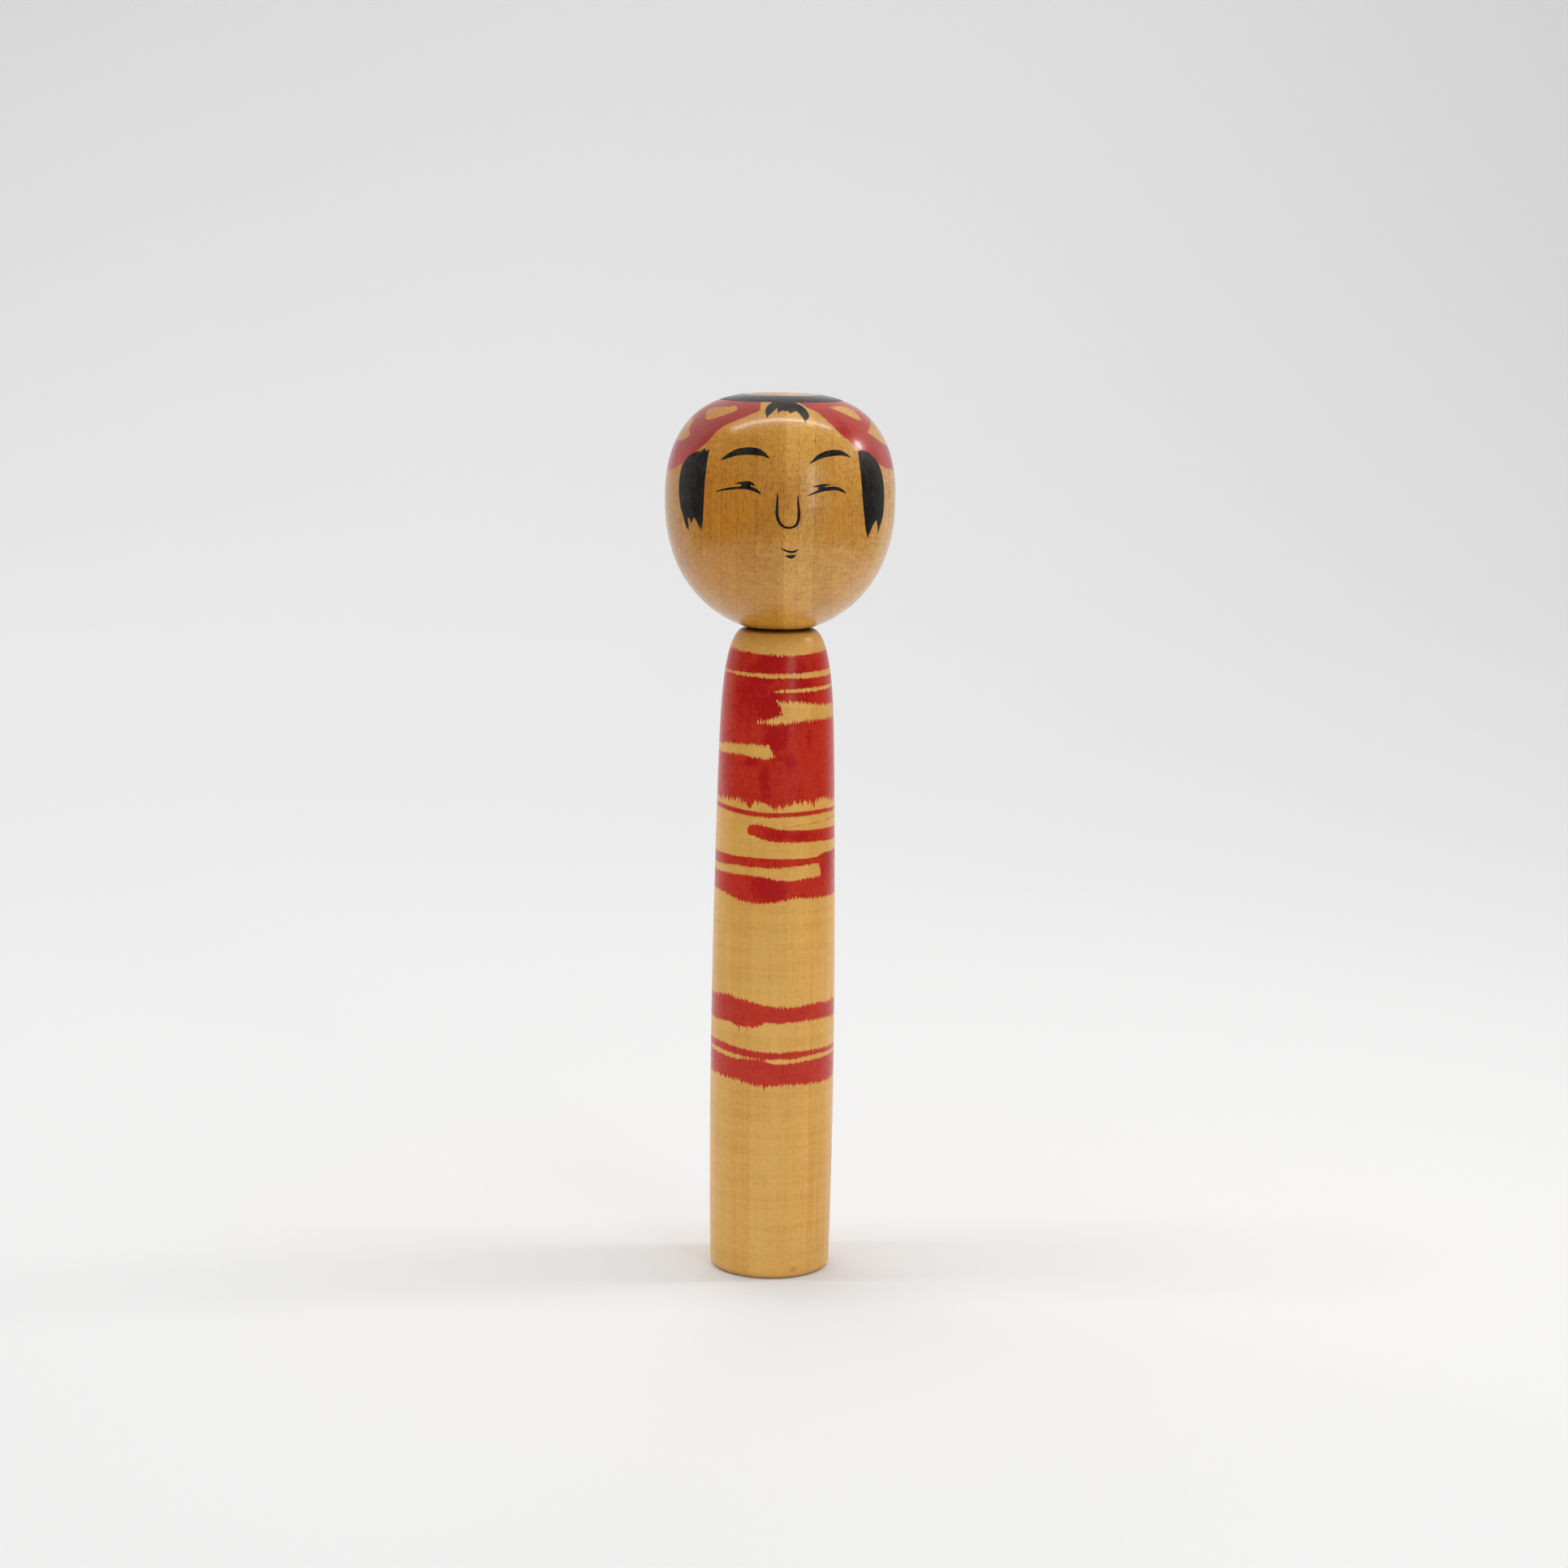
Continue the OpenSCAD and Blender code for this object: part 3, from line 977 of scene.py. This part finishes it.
# The marks of the grain: the noise where each starts and is full, and what it multiplies the colour by
MARKS = {
    "pore": (0.50, 0.68, (0.70, 0.60, 0.46)),
    "fibre": (0.40, 0.72, (0.84, 0.78, 0.68)),
    "speck": (0.64, 0.76, (0.72, 0.60, 0.48)),
    "turned": (0.35, 0.70, (0.90, 0.87, 0.83)),
    "hoops": (0.42, 0.66, (0.92, 0.87, 0.78)),
}
# The dark line between two yearly rings, with its width as a share of a ring
RING_LINE_W = 0.040
RING_LINE_TINT = (0.66, 0.50, 0.34)
# The curl, and the patches of wood that have it
CURL_RANGE = (0.38, 0.66)
CURLY_RANGE = (0.38, 0.58)
CURL_TINT = (0.84, 0.77, 0.66)
# The painted shade in the seam between head and body and how far from it that reaches, and the scorched ring
SEAM_SHADE_TINT = (0.22, 0.14, 0.08)
SEAM_SHADE_REACH = (1.0, 0.15)
BROWN = (0.13, 0.042, 0.012)

# How much each noise adds to the wood's warmth, to its relief and to the strength of the dye
WARMTH = {"broad": 0.45, "streak": 0.40}
RING_WARMTH = 0.25
WARMTH_RANGE = (0.30, 0.90)
RELIEF = {"pore": -0.6, "fibre": -0.5, "turned": 0.25, "speck": -0.4}
DYE_STRENGTH = {"blotch": 0.35, "dab": 0.62, "fibre": 0.20, "scrub": 0.38}

# How far over the dye's edge the red fades in, in millimetres, and how strong dye looks thin and thick
DYE_EDGE = (-0.14, 0.18)
DYE_RANGE = (0.70, 1.05)

# The raggedness above which long teeth start, that up to which short ones grow, and how deep both cut
LONG_TEETH_FROM = 0.2
SHORT_TEETH_TO = 0.8
TOOTH_DEPTH = 3.2


def wood_grain(look, wood):
    """The bare wood's colour."""
    distance, tone, ring_edge = look.growth_rings(wood["wander"])
    streak = look.marks("streak")
    warmth = look.math("MULTIPLY_ADD", tone, RING_WARMTH, look.weighed(WARMTH))
    old = look.ramp(distance, OLD_WOOD_FROM, OLD_WOOD_FROM + OLD_WOOD_FADE, 0.0, wood["old"])
    warmth = look.math("ADD", warmth, old)
    colour = look.mix(look.ramp(warmth, *WARMTH_RANGE), wood["pale"], wood["deep"])
    # Age and painted shade: this mask also darkens the head's left side and the body's top under the head.
    aged_and_shaded = look.math("MULTIPLY", look.stored("amber_and_shade"), look.ramp(streak, 0.2, 0.7, 0.75))
    colour = look.mix(aged_and_shaded, colour, wood["aged_and_shaded"])
    line = look.math("MULTIPLY", look.ramp(ring_edge, RING_LINE_W, 0.0), look.ramp(streak, 0.3, 0.6, 0.4))
    colour = look.darken(colour, look.math("MULTIPLY", line, wood["line"]), RING_LINE_TINT)
    for name, (starts, full, tint) in MARKS.items():
        colour = look.darken(colour, look.ramp(look.marks(name), starts, full, 0.0, wood[name]), tint)
    curly = look.ramp(look.marks("curly", wood["curly_at"]), *CURLY_RANGE)
    curl = look.math("MULTIPLY", look.ramp(look.marks("curl"), *CURL_RANGE), curly)
    return look.darken(colour, look.math("MULTIPLY", curl, wood["curl"]), CURL_TINT)


def dye(look, wood, bare):
    """The wood's colour with the red dye in it, and how much dye there is."""
    teeth = look.stored("red_teeth")
    long = look.math("MAXIMUM", look.math("SUBTRACT", teeth, LONG_TEETH_FROM), 0.0)
    short = look.math("MINIMUM", teeth, SHORT_TEETH_TO)
    ragged = look.math("MULTIPLY", look.math("SUBTRACT", look.marks("long_teeth"), 0.5), long)
    ragged = look.math("MULTIPLY_ADD", look.math("SUBTRACT", look.marks("short_teeth"), 0.5), short, ragged)
    dyed = look.ramp(
        look.math("MULTIPLY_ADD", ragged, TOOTH_DEPTH, look.stored("red_depth")), *DYE_EDGE
    )
    # On the body this deeper red is dye that pooled; on the head it includes painted shade over the left
    # ornament.
    pooled_and_shaded = look.math("MULTIPLY", look.stored("red_pool_and_shade"), wood["pooling_and_shade"])
    strength = look.math("ADD", look.weighed(DYE_STRENGTH), pooled_and_shaded)
    red = look.mix(look.ramp(strength, *DYE_RANGE), wood["red"], wood["deep_red"])
    return look.mix(dyed, bare, red), dyed


def waxed_wood(name, wood):
    """Turned wood under a thin wax, with the red dye that its vertices carry."""
    look = Look(name)
    colour = wood_grain(look, wood)
    if wood["brown_ring"]:
        colour = look.mix(look.ramp(look.stored("brown_depth"), -0.15, 0.15, 0.0, 0.95), colour, BROWN)
    colour, dyed = dye(look, wood, colour)
    # Painted shade: the wood darkens towards the seam between the head and the body.
    seam = look.math("ABSOLUTE", look.math("SUBTRACT", look.part(look.place, "Z"), SEAT_Z - SEAT_GAP / 2))
    rough = look.ramp(look.marks("rubbed"), 0.30, 0.75, *wood["roughness"])
    rough = look.math("MULTIPLY_ADD", dyed, wood["dye_gloss"], rough)
    return look.surface({
        "Base Color": look.darken(colour, look.ramp(seam, *SEAM_SHADE_REACH, 0.0, 0.9), SEAM_SHADE_TINT),
        "Roughness": look.math("MULTIPLY", rough, crown_polish(look, wood["polish"])),
        "Specular IOR Level": wood["shine"],
        "Coat Weight": wood["coat"],
        "Coat Roughness": wood["coat_roughness"],
        "Normal": look.bump(look.weighed(RELIEF), wood["relief"]),
    })


def crown_polish(look, share):
    """How much of its roughness the top of the crown keeps, where hands have rubbed it."""
    return look.ramp(look.part(look.place, "Z"), CROWN_Z - 3.0, CROWN_Z - 0.6, 1.0, share)


# The ink where it is thick, where it is thin and in its specks
THICK_INK = (0.003, 0.002, 0.001)
THIN_INK = (0.030, 0.027, 0.020)
INK_SPECKS = (0.065, 0.057, 0.045)

# The thinness and the specks' noise that start to show and that show in full, and the heights over which the
# ink turns greyer upwards
THIN_RANGE = (0.46, 0.78)
SPECKS_RANGE = (0.60, 0.74)
INK_GREYING_HEIGHTS = (SEAT_Z + 30, SEAT_Z + 46)


def brush_ink():
    """Dry black ink, a little grey where the brush ran thin, and greyer towards the top of the head."""
    look = Look("black_ink")
    upper = look.ramp(look.part(look.place, "Z"), *INK_GREYING_HEIGHTS, 0.0, 0.10)
    grey = look.math("ADD", look.weighed({"thin_ink": 0.5, "worn_ink": 0.5}), upper)
    colour = look.mix(look.ramp(grey, *THIN_RANGE), THICK_INK, THIN_INK)
    specks = look.ramp(look.marks("ink_speck"), *SPECKS_RANGE, 0.0, 0.5)
    rough = look.ramp(look.marks("thin_ink"), 0.3, 0.7, 0.36, 0.50)
    return look.surface({
        "Base Color": look.mix(specks, colour, INK_SPECKS),
        "Roughness": look.math("MULTIPLY", rough, crown_polish(look, 0.42)),
        "Specular IOR Level": 0.36,
        "Normal": look.bump(look.marks("thin_ink"), 0.008),
    })


# ---------------- the stage and its light


def paper():
    """The plain pale sweep that the doll stands on."""
    look = Look("backdrop_paper")
    return look.surface({
        "Base Color": look.mix(look.marks("cloud"), (0.80, 0.80, 0.80), (0.81, 0.81, 0.81)),
        "Roughness": 0.85,
        "Specular IOR Level": 0.1,
    })


def add_sweep():
    """A floor that curves up into a wall behind the doll."""
    front, start, radius, top, half, steps = -2.5, 1.5, 0.8, 2.6, 3.0, 25
    curve = [(front, 0.0)]
    for turn in np.radians(np.linspace(0, 90, steps)):
        curve.append((start + radius * math.sin(turn), radius * (1 - math.cos(turn))))
    curve.append((start + radius, top))
    points = [(x, y, z) for y, z in curve for x in (-half, half)]
    faces = [(2 * i, 2 * i + 1, 2 * i + 3, 2 * i + 2) for i in range(len(curve) - 1)]
    sweep = add_mesh("backdrop", points, faces)
    sweep.data.shade_smooth()
    sweep.data.materials.append(paper())


# The dark surround: its first and last azimuth, where it starts to pale towards each, its sizes in metres
SURROUND_FROM, SURROUND_TO = -126, 132
PALES_FROM, PALES_TO = -92, 98
SURROUND_NEAR, SURROUND_FAR, SURROUND_TOP = 0.45, 0.75, 1.3
SURROUND_FOOT, SURROUND_HOLE, SURROUND_STEPS = 0.002, 0.02, 81


def add_surround():
    """A dark drum over the front and the sides that only reflections see, as a dim room would be."""
    look = Look("dark_room")
    dark = look.mix(look.marks("shade"), (0.02, 0.02, 0.02), (0.03, 0.03, 0.03))
    look.surface({"Base Color": look.mix(look.stored("pale"), dark, (0.85, 0.85, 0.85)), "Roughness": 0.9})
    azimuths = np.linspace(SURROUND_FROM, SURROUND_TO, SURROUND_STEPS)
    section = [
        (SURROUND_NEAR, SURROUND_FOOT), (SURROUND_FAR, SURROUND_FOOT),
        (SURROUND_FAR, SURROUND_TOP), (SURROUND_HOLE, SURROUND_TOP),
    ]
    turns = np.radians(azimuths)
    points = [(r * math.sin(turn), -r * math.cos(turn), z) for turn in turns for r, z in section]
    across = len(section)
    faces = []
    for i in range(len(turns) - 1):
        for j in range(across - 1):
            first = across * i + j
            faces.append((first, first + 1, first + across + 1, first + across))
    drum = add_mesh("dark_surround", points, faces)
    drum.data.materials.append(look.material)
    edges = (SURROUND_FROM, PALES_FROM, PALES_TO, SURROUND_TO)
    paleness = np.interp(azimuths, edges, (1, 0, 0, 1))
    give(drum, "pale", np.outer(paleness, (1, 1, 1, 0)).ravel())
    drum.visible_camera = False
    drum.visible_diffuse = False
    drum.visible_shadow = False
    drum.visible_transmission = False


WHITE = (1.0, 1.0, 1.0)


def add_light(name, azimuth, elevation, distance, size, power, colour=WHITE, aim=0.15, mirrored=True):
    """A soft box of the given width and height in that direction, mirrored in the doll's wax or not."""
    lamp = bpy.data.lights.new(name, "AREA")
    lamp.shape = "RECTANGLE"
    lamp.size, lamp.size_y = size
    lamp.energy = power
    lamp.color = colour
    turn, tilt = math.radians(azimuth), math.radians(elevation)
    target = Vector((0, 0, aim))
    out = Vector((math.sin(turn) * math.cos(tilt), -math.cos(turn) * math.cos(tilt), math.sin(tilt)))
    light = add_object(name, lamp)
    light.location = target + distance * out
    light.rotation_euler = out.to_track_quat("Z", "Y").to_euler()
    light.visible_camera = False
    light.visible_glossy = mirrored


def add_lights():
    """A long strip overhead, a wash on the backdrop's foot, a soft box in front and a small lamp."""
    add_light("overhead_strip", 0, 89.9, 0.88, (1.3, 0.05), 4.2, aim=0.24)
    add_light("backdrop_wash", -165, 41, 2.3, (2.6, 1.2), 15.4, aim=0.0, mirrored=False)
    add_light("front_right", 27, 15, 0.72, (0.12, 0.4), 0.5)
    add_light("small_lamp", 96, 27, 0.45, (0.055, 0.055), 0.28, (1.0, 0.93, 0.90), aim=0.24)


# How bright the room is below and overhead
ROOM_BELOW, ROOM_OVERHEAD = 0.76, 0.58


def add_world():
    """A pale room, a little dimmer overhead."""
    world = bpy.data.worlds.new("pale_room")
    world.use_nodes = True
    nodes, links = world.node_tree.nodes, world.node_tree.links
    direction = nodes.new("ShaderNodeSeparateXYZ")
    links.new(nodes.new("ShaderNodeTexCoord").outputs["Generated"], direction.inputs[0])
    dimmed = nodes.new("ShaderNodeMapRange")
    links.new(direction.outputs["Z"], dimmed.inputs["Value"])
    dimmed.inputs["To Min"].default_value = ROOM_BELOW
    dimmed.inputs["To Max"].default_value = ROOM_OVERHEAD
    links.new(dimmed.outputs["Result"], nodes["Background"].inputs["Strength"])
    nodes["Background"].inputs["Color"].default_value = (*WHITE, 1.0)
    bpy.context.scene.world = world


# ---------------- the doll


def add_body():
    """The body, with its foot, shoulder, socket and red bands."""
    outside = body_outside()
    line = joined(outside, socket_line())
    piece, azimuth, ring = lathe("doll_body", line, BODY_SEGMENTS)
    paint_body(piece, azimuth, ring, line, len(outside))
    piece.data.materials.append(waxed_wood("body_wood", BODY_WOOD))
    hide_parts("body")
    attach(piece, "body")


def add_head():
    """The head with its neck and tenon, its two red ornaments and all its ink."""
    tenon, curve = tenon_line(), head_curve()
    line = joined(tenon, curve)
    surface = HeadSurface(curve)
    below_seat = np.full(len(tenon) - 1, BELOW_SEAT)
    piece, azimuth, ring = lathe("doll_head", line, HEAD_SEGMENTS)
    paint_head(piece, azimuth, ring, line, np.concatenate([below_seat, surface.drops]))
    piece.data.materials.append(waxed_wood("head_wood", HEAD_WOOD))
    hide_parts("head")
    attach(piece, "head")
    add_ink(surface, brush_ink())


add_camera()
add_body()
add_head()
add_sweep()
add_surround()
add_lights()
add_world()
bpy.context.scene.view_settings.view_transform = "Standard"
